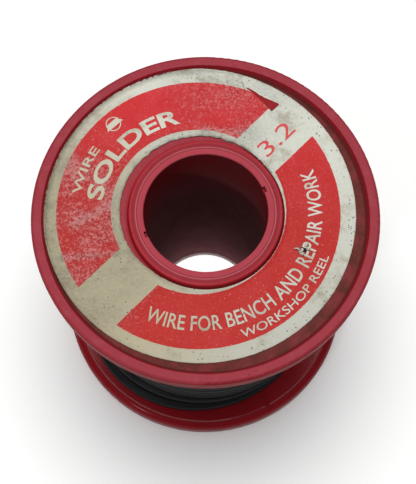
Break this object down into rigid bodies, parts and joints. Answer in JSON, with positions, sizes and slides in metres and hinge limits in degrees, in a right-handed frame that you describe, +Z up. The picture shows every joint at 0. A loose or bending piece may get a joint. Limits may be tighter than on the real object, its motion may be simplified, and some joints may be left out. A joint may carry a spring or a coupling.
{
  "type": "wire spool",
  "caption": "Flanged spool of black-sheathed wire: moulded red flanges on a core tube with a through bore, and a paper label.",
  "frame": {"origin": "centre of the lower flange's rim face, where the spool stands", "axes": "+Z up along the bore towards the labelled flange; -Y is the side nearest a person reading the label"},
  "size_m": [0.072, 0.072, 0.0675],
  "materials": {
    "red_moulding": "satin moulded plastic with a pale bloom",
    "red_tube": "satin extruded plastic",
    "label_paper": "aged uncoated paper with glossy red print",
    "black_wire": "smooth black sheath with a soft sheen"
  },
  "bodies": {
    "root": {"upper_flange": "red_moulding", "lower_flange": "red_moulding", "core_tube": "red_tube", "label": "label_paper", "wire_winding": "black_wire"}
  },
  "joints": []
}
